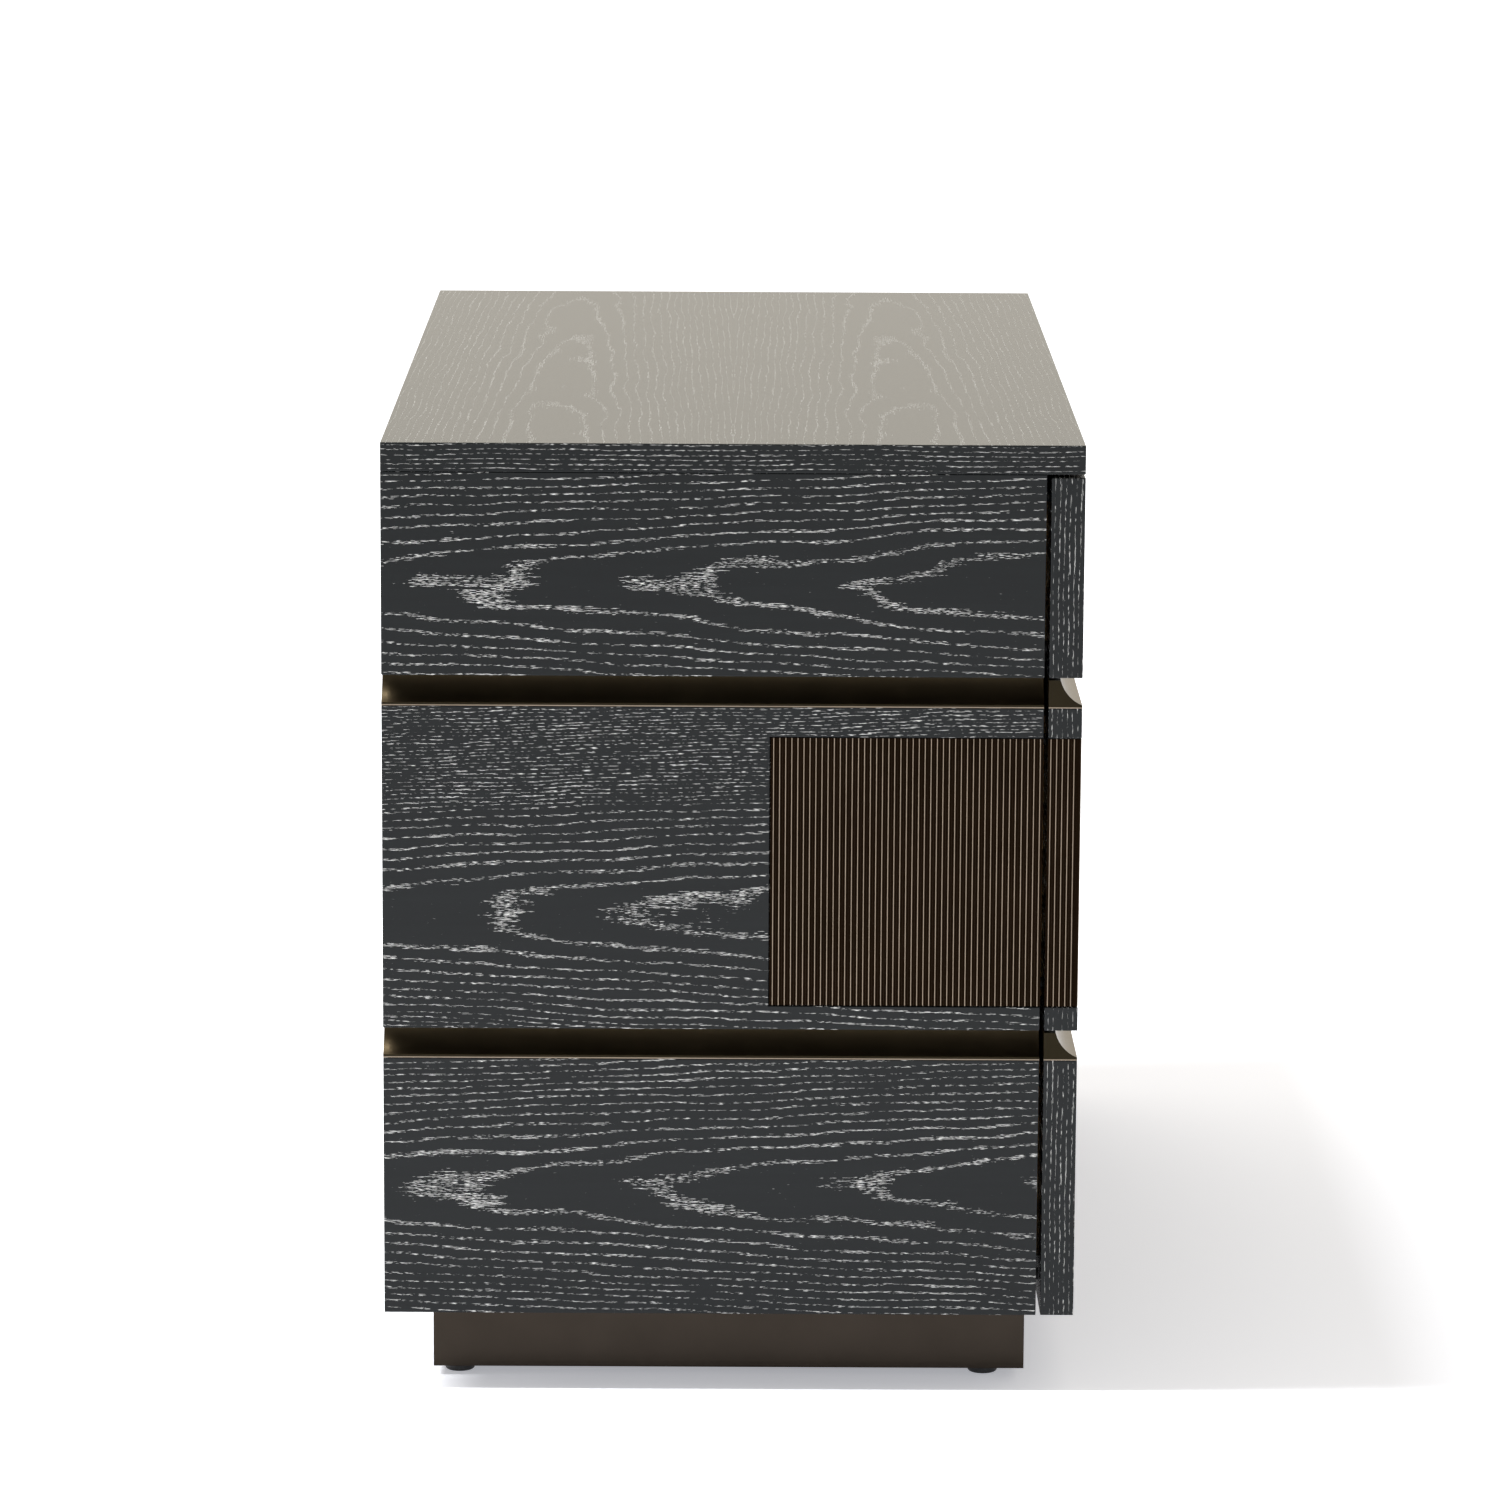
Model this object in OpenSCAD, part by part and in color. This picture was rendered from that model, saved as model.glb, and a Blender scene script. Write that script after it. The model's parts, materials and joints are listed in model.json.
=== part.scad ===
// Three-drawer nightstand: a black oak case in three tiers, split by bronze cove bands,
// with a ribbed bronze inlay round the middle tier and a recessed bronze plinth.
// The origin is on the floor at the centre of the footprint. The drawers face -Y.

/* [Overall size] */
// Width across the outer faces of the side panels
cabinet_w = 813; // [640:1:900]
// Depth from the back edge to the faces of the drawer fronts
cabinet_d = 457; // [450:1:560]

/* [Tiers] */
// Height of the lowest side panel
lower_tier_h = 174; // [160:1:240]
// Height of the middle side panel
middle_tier_h = 216; // [212:1:260]
// Height of the upper side panel
upper_tier_h = 134; // [130:1:200]
// Thickness of the top panel
top_t = 19; // [15:1:30]

/* [Panels] */
// Thickness of the outer side panels
cladding_t = 20; // [18:1:25]
// Thickness of the structural case boards
case_t = 15; // [15:1:18]
// Thickness of the drawer fronts
front_t = 22; // [20:1:28]
// Gap between the case and the back of the drawer fronts
reveal = 3; // [2:0.5:4]
// Gap between one drawer front and what is above it
front_gap = 1.5; // [1:0.5:3]
// Thickness of the back panel
back_t = 6; // [4:1:9]

/* [Cove bands] */
// Height of each cove band
cove_h = 20; // [18:1:24]
// Radius of the cove
cove_r = 24; // [24:1:28]
// Thickness of the lip at the foot of the cove
cove_lip = 2; // [1.5:0.5:3]

/* [Ribbed inlay] */
// Length of the inlay on each side panel, back from the front edge
inlay_len = 178.5; // [100:0.5:240]
// Wood left above the inlay
inlay_margin_top = 20; // [10:1:30]
// Wood left below the inlay
inlay_margin_bottom = 16; // [10:1:30]
// Overall thickness of the ribbed sheet
inlay_t = 3; // [2.5:0.5:4]
// Distance from one rib to the next
rib_pitch = 4; // [3:0.5:8]
// Depth of the flutes between the ribs
rib_depth = 1; // [0.6:0.1:1.4]

/* [Drawers] */
// Depth of each drawer box
box_d = 380; // [350:10:400]
// Length of the drawer slides
slide_len = 350; // [300:10:370]
// Thickness of the drawer box sides and back
box_t = 13; // [12:1:15]
// Thickness of the drawer bottoms
box_bottom_t = 6; // [4:1:8]
// Height of a drawer slide
slide_h = 45; // [45:1:53]
// Thickness of a drawer slide
slide_t = 12.7; // [12.7:0.1:13.5]

/* [Plinth and feet] */
// Height of the plinth
plinth_h = 46; // [40:1:80]
// Distance from the footprint's edge in to the plinth
plinth_inset = 31; // [20:1:60]
// Height of the foot pads when they are screwed right in
foot_h = 6; // [5:1:10]
// Diameter of a foot pad
foot_d = 20; // [18:1:30]

/* [Hidden] */

$fn = 48;
eps = 0.01;
TOP = 0;
MIDDLE = 1;
BOTTOM = 2;
LEFT = -1;
RIGHT = 1;

// Colours of the finishes
black_oak = "#2b2d2e";
inner_oak = "#8a7358";
bronze = "#3b2d20";
zinc = "#b4b6b8";
rubber = "#161617";
black_plastic = "#17171a";

// Heights of each level above the floor
z_case = foot_h + plinth_h;
z_lower_top = z_case + lower_tier_h;
z_middle = z_lower_top + cove_h;
z_middle_top = z_middle + middle_tier_h;
z_upper = z_middle_top + cove_h;
z_top = z_upper + upper_tier_h;

// Planes across the width, from the outside in
x_out = cabinet_w / 2;
x_clad = x_out - cladding_t;
x_in = x_clad - case_t;
x_box = x_in - slide_t;

// Planes along the depth, from the front
y_front = -cabinet_d / 2;
y_front_back = y_front + front_t;
y_case = y_front_back + reveal;
y_back = cabinet_d / 2;
back_setback = 3;
y_case_back = y_back - back_setback - back_t;

// Rails of the case, and the gap under the top panel
top_front_gap = 2;
rail_w = 60;
top_rail_t = 12;
divider_t = 18;

// Cove: its centre is this far outside the face and above the foot of the band
cove_out = 9;
cove_up = cove_lip + sqrt(cove_r * cove_r - cove_out * cove_out);

// Ribs
rib_w = 1.4;
rib_flank = 0.5;
inlay_z0 = z_middle + inlay_margin_bottom;
inlay_z1 = z_middle_top - inlay_margin_top;

// Drawer boxes, in the order top, middle, bottom
box_clear_below = 12;
box_clear_above = [7, 14, 12];
box_front_t = 15;
box_z0 = [z_upper + box_clear_below, z_middle + box_clear_below, z_case + case_t + box_clear_below];
box_z1 = [
    z_top - top_rail_t - box_clear_above[TOP],
    z_middle_top - box_clear_above[MIDDLE],
    z_lower_top - box_clear_above[BOTTOM]
];
front_z0 = [z_upper, z_middle, z_case];
front_z1 = [z_top - top_front_gap, z_middle_top, z_lower_top];
y_box_back = y_front_back + box_d;
groove_up = 10;
groove_depth = 6;
tail_pitch = 34;
tail_end = 0.34;
tail_root = 0.24;

// Slides: sheet thickness, then the half height, reach across the gap and lip of each member
slide_sheet = 1.2;
slide_step = 4.2;
outer_reach = 8.6;
outer_lip = 3;
middle_offset = 3.4;
middle_reach = 7.4;
middle_lip = 2.6;
inner_reach = 6.4;
inner_lip = 2;
slide_setback = 2;
y_slide = y_case + slide_setback;
middle_half_h = slide_h / 2 - slide_step;
inner_half_h = middle_half_h - slide_step;

// Screws
screw_r = 2;
screw_hole_r = 2.1;
screw_head_r = 4.5;
screw_head_h = 2.4;
front_screw_len = 27;
front_screw_x = 0.72;
front_screw_z = [0.28, 0.76];
back_screw_len = 26;
back_head_h = 2;

// Bumpers
bumper_r = 4;
bumper_t = reveal - 0.4;
bumper_places = [0.12, 0.88];

// Plinth and feet
plinth_sheet = 1.5;
plinth_flange = 32;
gusset_t = 3;
gusset_w = 62;
gusset_end = 14;
foot_inset_x = plinth_inset + 16;
foot_inset_back = plinth_inset + 17;
foot_inset_front = plinth_inset + 27;
stem_r = 4;
stem_len = 30;
stem_hole_r = 4.6;
nut_bore_r = 4.05;
nut_h = 6.5;
nut_across_corners = 15;
foot_gap = 0.3;

// A box between two corners
module block(x, y, z) {
    translate([x[0], y[0], z[0]]) cube([x[1] - x[0], y[1] - y[0], z[1] - z[0]]);
}

// Shapes are drawn on the right and mirrored to the left
module on_side(side) {
    if (side == LEFT) mirror([1, 0, 0]) children();
    else children();
}

module on_both_sides() {
    for (side = [LEFT, RIGHT]) on_side(side) children();
}

// Case
module top_panel() {
    color(black_oak) block([-x_out, x_out], [y_front, y_back], [z_top, z_top + top_t]);
}

// Places of the screws that hold the back panel: into the sides, the bottom and the rear top rail
function back_screw_points() = concat(
    [for (i = [0 : 4], side = [LEFT, RIGHT])
        [side * (x_in + case_t / 2), z_case + 30 + i * (z_top - z_case - 60) / 4]],
    [for (x = [-0.5, 0, 0.5]) [x * x_in, z_case + case_t / 2]],
    [for (x = [-0.5, 0, 0.5]) [x * x_in, z_top - top_rail_t / 2]]
);

module at_back_screws() {
    for (p = back_screw_points()) translate([p[0], y_case_back + back_t, p[1]]) rotate([90, 0, 0]) children();
}

module back_screw_holes() {
    at_back_screws() translate([0, 0, -eps]) cylinder(r = screw_hole_r, h = back_screw_len + 1);
}

module carcass_side(side) {
    color(black_oak) difference() {
        on_side(side) block([x_in, x_clad], [y_case, y_case_back], [z_case, z_top]);
        back_screw_holes();
    }
}

module carcass_bottom() {
    color(black_oak) difference() {
        block([-x_in, x_in], [y_case, y_case_back], [z_case, z_case + case_t]);
        back_screw_holes();
    }
}

module back_panel() {
    color(black_oak) difference() {
        block([-x_clad, x_clad], [y_case_back, y_case_back + back_t], [z_case, z_top]);
        back_screw_holes();
    }
}

module back_panel_screws() {
    color(zinc) at_back_screws() {
        cylinder(r = screw_r, h = back_screw_len);
        translate([0, 0, -back_head_h]) cylinder(r = screw_head_r - 0.5, h = back_head_h);
    }
}

module top_rails() {
    color(black_oak) difference() {
        for (y = [y_case, y_case_back - rail_w])
            block([-x_in, x_in], [y, y + rail_w], [z_top - top_rail_t, z_top]);
        back_screw_holes();
    }
}

module divider_rails() {
    color(black_oak) for (z = [z_middle, z_upper])
        block([-x_in, x_in], [y_case, y_case + rail_w], [z - divider_t, z]);
}

// Side panels, cove bands and ribbed inlays
module side_panel(side, z0, z1) {
    color(black_oak) on_side(side) block([x_clad, x_out], [y_case, y_back], [z0, z1]);
}

module side_panel_middle(side) {
    color(black_oak) difference() {
        side_panel(side, z_middle, z_middle_top);
        on_side(side) block(
            [x_out - inlay_t, x_out + 1],
            [y_case - 1, y_case + inlay_len],
            [inlay_z0, inlay_z1]
        );
    }
}

// A bar along X with a cove cut from its front, its foot at the origin and its face on Y = 0
module cove_bar(len, depth, height) {
    difference() {
        translate([-len / 2, 0, 0]) cube([len, depth, height]);
        translate([0, -cove_out, cove_up]) rotate([0, 90, 0])
            cylinder(r = cove_r, h = len + 2, center = true);
    }
}

module side_cove_trims(side) {
    len = y_back - y_case;
    color(bronze) on_side(side) for (z = [z_lower_top, z_middle_top])
        translate([x_out, y_case + len / 2, z]) rotate([0, 0, 90]) cove_bar(len, cladding_t, cove_h);
}

// Outline of a ribbed sheet: flat back on Y = inlay_t, and rib tops on Y = 0
function rib_outline(len) =
    let (n = round(len / rib_pitch), p = len / n)
    concat(
        [[len, inlay_t], [0, inlay_t]],
        [for (i = [0 : n - 1]) each [
            [i * p, rib_depth],
            [i * p + (p - rib_w) / 2 - rib_flank, rib_depth],
            [i * p + (p - rib_w) / 2, 0],
            [i * p + (p + rib_w) / 2, 0],
            [i * p + (p + rib_w) / 2 + rib_flank, rib_depth]
        ]],
        [[len, rib_depth]]
    );

module ribbed_sheet(len) {
    translate([0, 0, inlay_z0]) linear_extrude(height = inlay_z1 - inlay_z0) polygon(rib_outline(len));
}

module side_ribbed_inlay(side) {
    color(bronze) on_side(side) translate([x_out, y_case, 0]) rotate([0, 0, 90]) ribbed_sheet(inlay_len);
}

// Drawer fronts
// Places of the four screws from a drawer box into its front
function front_screw_points(level) =
    [for (x = [-front_screw_x, front_screw_x], z = front_screw_z)
        [x * x_box, box_z0[level] + z * (box_z1[level] - box_z0[level])]];

module at_front_screws(level) {
    for (p = front_screw_points(level))
        translate([p[0], y_front_back + box_front_t, p[1]]) rotate([90, 0, 0]) children();
}

module front_screw_holes(level) {
    at_front_screws(level) translate([0, 0, -eps]) cylinder(r = screw_hole_r, h = front_screw_len + 1);
}

module drawer_screws(level) {
    color(zinc) at_front_screws(level) {
        cylinder(r = screw_r, h = front_screw_len);
        translate([0, 0, -screw_head_h]) cylinder(r = screw_head_r, h = screw_head_h);
    }
}

module drawer_front(level) {
    color(black_oak) difference() {
        block([-x_out, x_out], [y_front, y_front_back], [front_z0[level], front_z1[level]]);
        front_screw_holes(level);
    }
}

module drawer_middle_front() {
    color(black_oak) difference() {
        drawer_front(MIDDLE);
        block([-x_out - 1, x_out + 1], [y_front - 1, y_front + inlay_t], [inlay_z0, inlay_z1]);
        on_both_sides() block(
            [x_out - inlay_t, x_out + 1],
            [y_front, y_front_back + 1],
            [inlay_z0, inlay_z1]
        );
    }
}

module drawer_cove_trim(level) {
    color(bronze) translate([0, y_front, front_z1[level]]) cove_bar(cabinet_w, front_t, cove_h - front_gap);
}

module drawer_middle_front_inlay() {
    color(bronze) translate([-x_out, y_front, 0]) ribbed_sheet(cabinet_w);
}

module drawer_middle_edge_inlays() {
    color(bronze) on_both_sides()
        translate([x_out, y_front + inlay_t, 0]) rotate([0, 0, 90]) ribbed_sheet(front_t - inlay_t);
}

// Drawer boxes, dovetailed at all four corners
// Outline of one row of dovetails in the YZ plane: roots on Y = 0, ends on Y = -len
module tails(level, len) {
    h = box_z1[level] - box_z0[level];
    n = round(h / tail_pitch);
    p = h / n;
    for (i = [0 : n - 1]) translate([0, 0, box_z0[level] + (i + 0.5) * p]) rotate([90, 0, 90])
        linear_extrude(height = box_t) polygon([
            [0, -tail_root * p], [-len, -tail_end * p],
            [-len, tail_end * p], [0, tail_root * p]
        ]);
}

// The tails of one side board, at the front and at the back
module side_tails(level) {
    translate([x_box - box_t, y_front_back + box_front_t, 0]) tails(level, box_front_t);
    translate([x_box - box_t, y_box_back - box_t, 0]) mirror([0, 1, 0]) tails(level, box_t);
}

module bottom_sheet(level) {
    edge = groove_depth;
    z = box_z0[level] + groove_up;
    block(
        [-x_box + box_t - edge, x_box - box_t + edge],
        [y_front_back + box_front_t - edge, y_box_back - box_t + edge],
        [z, z + box_bottom_t]
    );
}

module box_side(level, side) {
    color(inner_oak) difference() {
        on_side(side) union() {
            block(
                [x_box - box_t, x_box],
                [y_front_back + box_front_t, y_box_back - box_t],
                [box_z0[level], box_z1[level]]
            );
            side_tails(level);
        }
        bottom_sheet(level);
    }
}

module box_end(level, y0, y1) {
    color(inner_oak) difference() {
        block([-x_box, x_box], [y0, y1], [box_z0[level], box_z1[level]]);
        on_both_sides() side_tails(level);
        bottom_sheet(level);
    }
}

module box_front(level) {
    color(inner_oak) difference() {
        box_end(level, y_front_back, y_front_back + box_front_t);
        front_screw_holes(level);
    }
}

module box_back(level) {
    box_end(level, y_box_back - box_t, y_box_back);
}

module box_bottom(level) {
    color(inner_oak) bottom_sheet(level);
}

// Drawer slides
// A lipped channel along Y. Its web is on X = 0 and it opens towards +X.
module channel(half_h, reach, lip) {
    t = slide_sheet;
    rotate([90, 0, 0]) translate([0, 0, -slide_len]) linear_extrude(height = slide_len) polygon([
        [0, -half_h], [reach, -half_h], [reach, -half_h + lip], [reach - t, -half_h + lip],
        [reach - t, -half_h + t], [t, -half_h + t], [t, half_h - t], [reach - t, half_h - t],
        [reach - t, half_h - lip], [reach, half_h - lip], [reach, half_h], [0, half_h]
    ]);
}

function slide_z(level) = (box_z0[level] + box_z1[level]) / 2;

module slide_outer_rails() {
    color(zinc) on_both_sides() for (level = [TOP, MIDDLE, BOTTOM])
        translate([x_in, y_slide, slide_z(level)]) mirror([1, 0, 0])
            channel(slide_h / 2, outer_reach, outer_lip);
}

module slide_middle_rails(level) {
    color(zinc) on_both_sides()
        translate([x_in - middle_offset, y_slide, slide_z(level)]) mirror([1, 0, 0])
            channel(middle_half_h, middle_reach, middle_lip);
}

module drawer_slide_rails(level) {
    color(zinc) on_both_sides()
        translate([x_box, y_slide, slide_z(level)]) channel(inner_half_h, inner_reach, inner_lip);
}

// Bumpers on the front edges of the case
module drawer_bumpers() {
    color(rubber) on_both_sides() for (level = [TOP, MIDDLE, BOTTOM], z = bumper_places)
        translate([x_in + case_t / 2, y_case, front_z0[level] + z * (front_z1[level] - front_z0[level])])
            rotate([90, 0, 0]) cylinder(r = bumper_r, h = bumper_t);
}

// Plinth: folded steel channels, mitred at the corners
x_plinth = x_out - plinth_inset;
y_plinth = y_back - plinth_inset;

module at_feet() {
    for (side = [LEFT, RIGHT]) on_side(side) for (y = [y_front + foot_inset_front, y_back - foot_inset_back])
        translate([x_out - foot_inset_x, y, 0]) children();
}

module foot_holes() {
    at_feet() translate([0, 0, foot_h - 1]) cylinder(r = stem_hole_r, h = plinth_sheet + gusset_t + 2);
}

// A channel rail along X whose face is on Y = 0, with both ends cut to a mitre
module plinth_rail(len) {
    t = plinth_sheet;
    big = plinth_flange + 20;
    difference() {
        translate([0, 0, foot_h]) rotate([90, 0, 90]) translate([0, 0, -len / 2]) linear_extrude(height = len)
            polygon([
                [0, 0], [plinth_flange, 0], [plinth_flange, t], [t, t],
                [t, plinth_h - t], [plinth_flange, plinth_h - t], [plinth_flange, plinth_h], [0, plinth_h]
            ]);
        for (end = [-1, 1]) translate([end * len / 2, 0, 0]) rotate([0, 0, end * 45])
            translate([end > 0 ? 0 : -big * 2, -big * 2, 0]) cube([big * 2, big * 4, z_case + 1]);
    }
}

module plinth_long_rails() {
    color(bronze) difference() {
        for (back = [0, 1]) rotate([0, 0, back * 180])
            translate([0, -y_plinth, 0]) plinth_rail(2 * x_plinth);
        foot_holes();
    }
}

module plinth_end_rails() {
    color(bronze) difference() {
        for (turn = [90, -90]) rotate([0, 0, turn]) translate([0, -x_plinth, 0]) plinth_rail(2 * y_plinth);
        foot_holes();
    }
}

module plinth_gussets() {
    t = plinth_sheet;
    color(zinc) difference() {
        on_both_sides() for (back = [0, 1]) mirror([0, back, 0])
            translate([x_plinth - t, -y_plinth + t, foot_h + t]) rotate([0, 0, 90])
                linear_extrude(height = gusset_t)
                    polygon([
                        [0, 0], [gusset_w, 0], [gusset_w, gusset_end],
                        [gusset_end, gusset_w], [0, gusset_w]
                    ]);
        foot_holes();
    }
}

module foot_weld_nuts() {
    color(zinc) difference() {
        at_feet() translate([0, 0, foot_h + plinth_sheet + gusset_t])
            cylinder(d = nut_across_corners, h = nut_h, $fn = 6);
        at_feet() translate([0, 0, foot_h]) cylinder(r = nut_bore_r, h = z_case);
    }
}

// A levelling foot: a moulded pad on a threaded stem
module foot(x, y) {
    color(black_plastic) translate([x, y, 0]) {
        rotate_extrude() polygon([
            [0, 0], [foot_d / 2 - 1.5, 0], [foot_d / 2 - 0.4, 0.6], [foot_d / 2, 1.8],
            [foot_d / 2, foot_h - 2], [foot_d / 2 - 1.2, foot_h - foot_gap], [0, foot_h - foot_gap]
        ]);
        translate([0, 0, 1]) cylinder(r = stem_r, h = stem_len);
    }
}

top_panel();
carcass_side(LEFT);  // carcass_side_left
carcass_side(RIGHT);  // carcass_side_right
carcass_bottom();
back_panel();
top_rails();
divider_rails();
side_panel(LEFT, z_upper, z_top);  // side_panel_upper_left
side_panel(RIGHT, z_upper, z_top);  // side_panel_upper_right
side_panel_middle(LEFT);  // side_panel_middle_left
side_panel_middle(RIGHT);  // side_panel_middle_right
side_panel(LEFT, z_case, z_lower_top);  // side_panel_lower_left
side_panel(RIGHT, z_case, z_lower_top);  // side_panel_lower_right
side_cove_trims(LEFT);  // side_cove_trims_left
side_cove_trims(RIGHT);  // side_cove_trims_right
side_ribbed_inlay(LEFT);  // side_ribbed_inlay_left
side_ribbed_inlay(RIGHT);  // side_ribbed_inlay_right
plinth_long_rails();
plinth_end_rails();
plinth_gussets();
foot_weld_nuts();
slide_outer_rails();
back_panel_screws();
drawer_bumpers();
drawer_front(TOP);  // drawer_top_front
box_front(TOP);  // drawer_top_box_front
box_side(TOP, LEFT);  // drawer_top_box_left
box_side(TOP, RIGHT);  // drawer_top_box_right
box_back(TOP);  // drawer_top_box_back
box_bottom(TOP);  // drawer_top_box_bottom
drawer_slide_rails(TOP);  // drawer_top_slide_rails
drawer_screws(TOP);  // drawer_top_screws
drawer_middle_front();
box_front(MIDDLE);  // drawer_middle_box_front
box_side(MIDDLE, LEFT);  // drawer_middle_box_left
box_side(MIDDLE, RIGHT);  // drawer_middle_box_right
box_back(MIDDLE);  // drawer_middle_box_back
box_bottom(MIDDLE);  // drawer_middle_box_bottom
drawer_slide_rails(MIDDLE);  // drawer_middle_slide_rails
drawer_screws(MIDDLE);  // drawer_middle_screws
drawer_cove_trim(MIDDLE);  // drawer_middle_cove_trim
drawer_middle_front_inlay();
drawer_middle_edge_inlays();
drawer_front(BOTTOM);  // drawer_bottom_front
box_front(BOTTOM);  // drawer_bottom_box_front
box_side(BOTTOM, LEFT);  // drawer_bottom_box_left
box_side(BOTTOM, RIGHT);  // drawer_bottom_box_right
box_back(BOTTOM);  // drawer_bottom_box_back
box_bottom(BOTTOM);  // drawer_bottom_box_bottom
drawer_slide_rails(BOTTOM);  // drawer_bottom_slide_rails
drawer_screws(BOTTOM);  // drawer_bottom_screws
drawer_cove_trim(BOTTOM);  // drawer_bottom_cove_trim
slide_middle_rails(TOP);  // slide_middle_rails_top
slide_middle_rails(MIDDLE);  // slide_middle_rails_middle
slide_middle_rails(BOTTOM);  // slide_middle_rails_bottom
foot(-x_out + foot_inset_x, y_front + foot_inset_front);  // foot_front_left
foot(x_out - foot_inset_x, y_front + foot_inset_front);  // foot_front_right
foot(-x_out + foot_inset_x, y_back - foot_inset_back);  // foot_back_left
foot(x_out - foot_inset_x, y_back - foot_inset_back);  // foot_back_right
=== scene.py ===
import json
import math
import bmesh
import bpy
from mathutils import Matrix, Vector


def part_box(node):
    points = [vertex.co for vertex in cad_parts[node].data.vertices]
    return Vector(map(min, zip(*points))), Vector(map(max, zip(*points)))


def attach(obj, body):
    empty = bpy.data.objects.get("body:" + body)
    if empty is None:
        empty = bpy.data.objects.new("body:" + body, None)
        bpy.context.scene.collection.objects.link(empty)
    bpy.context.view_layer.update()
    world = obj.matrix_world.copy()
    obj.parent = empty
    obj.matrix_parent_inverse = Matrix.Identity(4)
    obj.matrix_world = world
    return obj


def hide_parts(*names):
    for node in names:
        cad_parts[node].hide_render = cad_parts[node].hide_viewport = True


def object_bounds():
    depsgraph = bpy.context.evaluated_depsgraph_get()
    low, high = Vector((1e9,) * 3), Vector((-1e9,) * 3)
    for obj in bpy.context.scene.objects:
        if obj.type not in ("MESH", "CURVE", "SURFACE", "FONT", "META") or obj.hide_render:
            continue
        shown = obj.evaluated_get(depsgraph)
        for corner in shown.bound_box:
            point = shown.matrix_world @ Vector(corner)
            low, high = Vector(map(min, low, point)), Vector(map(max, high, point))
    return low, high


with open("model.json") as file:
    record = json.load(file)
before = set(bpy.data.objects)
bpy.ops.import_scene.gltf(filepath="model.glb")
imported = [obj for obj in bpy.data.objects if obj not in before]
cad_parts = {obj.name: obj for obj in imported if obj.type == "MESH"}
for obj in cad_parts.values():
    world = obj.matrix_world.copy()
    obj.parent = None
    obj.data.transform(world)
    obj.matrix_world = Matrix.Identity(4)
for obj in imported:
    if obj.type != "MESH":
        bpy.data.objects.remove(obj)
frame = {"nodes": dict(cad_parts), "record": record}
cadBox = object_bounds()
mm = 0.001
quarter = math.pi / 2


def linear(hexColour):
    channels = [int(hexColour[i:i + 2], 16) / 255 for i in (1, 3, 5)]
    return [c / 12.92 if c <= 0.04045 else ((c + 0.055) / 1.055) ** 2.4 for c in channels] + [1.0]


# Each value is named after an input or a setting of the node. A node or socket as a value is linked.
def addNode(tree, kind, values):
    node = tree.nodes.new(kind)
    for name, value in values.items():
        if isinstance(value, bpy.types.Node):
            value = value.outputs[0]
        if isinstance(value, bpy.types.NodeSocket):
            tree.links.new(value, node.inputs[name])
        elif isinstance(name, int) or name in node.inputs:
            node.inputs[name].default_value = value
        else:
            setattr(node, name, value)
    return node


def newMaterial(name):
    material = bpy.data.materials.new(name)
    material.use_nodes = True
    material.node_tree.nodes.clear()
    return material, material.node_tree


oakLook = {
    "stain": "#0e1112",        # black stain on the hard latewood
    "stainSoft": "#15191a",    # the same stain where it soaks into softer wood
    "lime": "#dadad7",         # white wax left in the pores
    "limeShare": 1.0,          # how much wax is left
    "ringMm": 3.2,             # distance between two growth rings
    "poreBandMm": 0.78,        # the porous part of each ring
    "heartMm": 80.0,           # how far the tree's centre lies behind the face
    "taper": 0.024,            # rings narrow along the board, so that their Vs nest ringMm / taper apart
    "tipMm": 0.0,              # where the tip of one V lies along the board
    "figureMm": 0.0,           # the line across the board that the Vs are centred on
    "slowFromMm": 0.0,         # rings further than this from the tree's centre are closer together
    "slowShare": 0.0,          # by this share more of them
    "leafMm": 0.0,             # width of a book-matched leaf, or 0 for a single leaf
    "seed": 0.0,
    "bandFade": 0.6,           # a band is full up to this share of its width
    "fewPores": 0.155,         # how much a band raises the pores' level where it has few of them
    "manyPores": 0.325,        # and where it has many
    "limedFrom": 0.775,        # the level at which a pore starts to hold wax
    "limedFull": 0.845,        # and at which it is full
    "satin": (0.2, 0.3),       # roughness of the lacquered wood
    "waxRoughness": 0.35,      # added where there is wax
    "poreDepth": -3.0,         # height of a full pore against the fibres around it
    "bumpStrength": 0.35,
    "bumpMm": 0.07,
    "specular": 0.18,
}
# Length along the grain and width across it in mm, and detail. Real pores are about 0.3 mm wide:
# they are drawn a little coarser so that they show.
oakNoise = {
    "wander": (110, 35, 1.0), "jag": (25, 10, 2.0), "strand": (40, 0.8, 1.0), "pores": (4.4, 0.36, 1.3),
    "patch": (70, 22, 1.0), "tone": (120, 6, 3.0), "fibre": (30, 0.5, 2.0),
}
oakNoiseRoughness = 0.55
oakNoiseStep = 7.3    # distance between two of these noises, so that they differ
oakDrift = {"wander": 5.0, "jag": 1.2, "strand": 1.6}    # mm by which these noises move a ring


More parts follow.
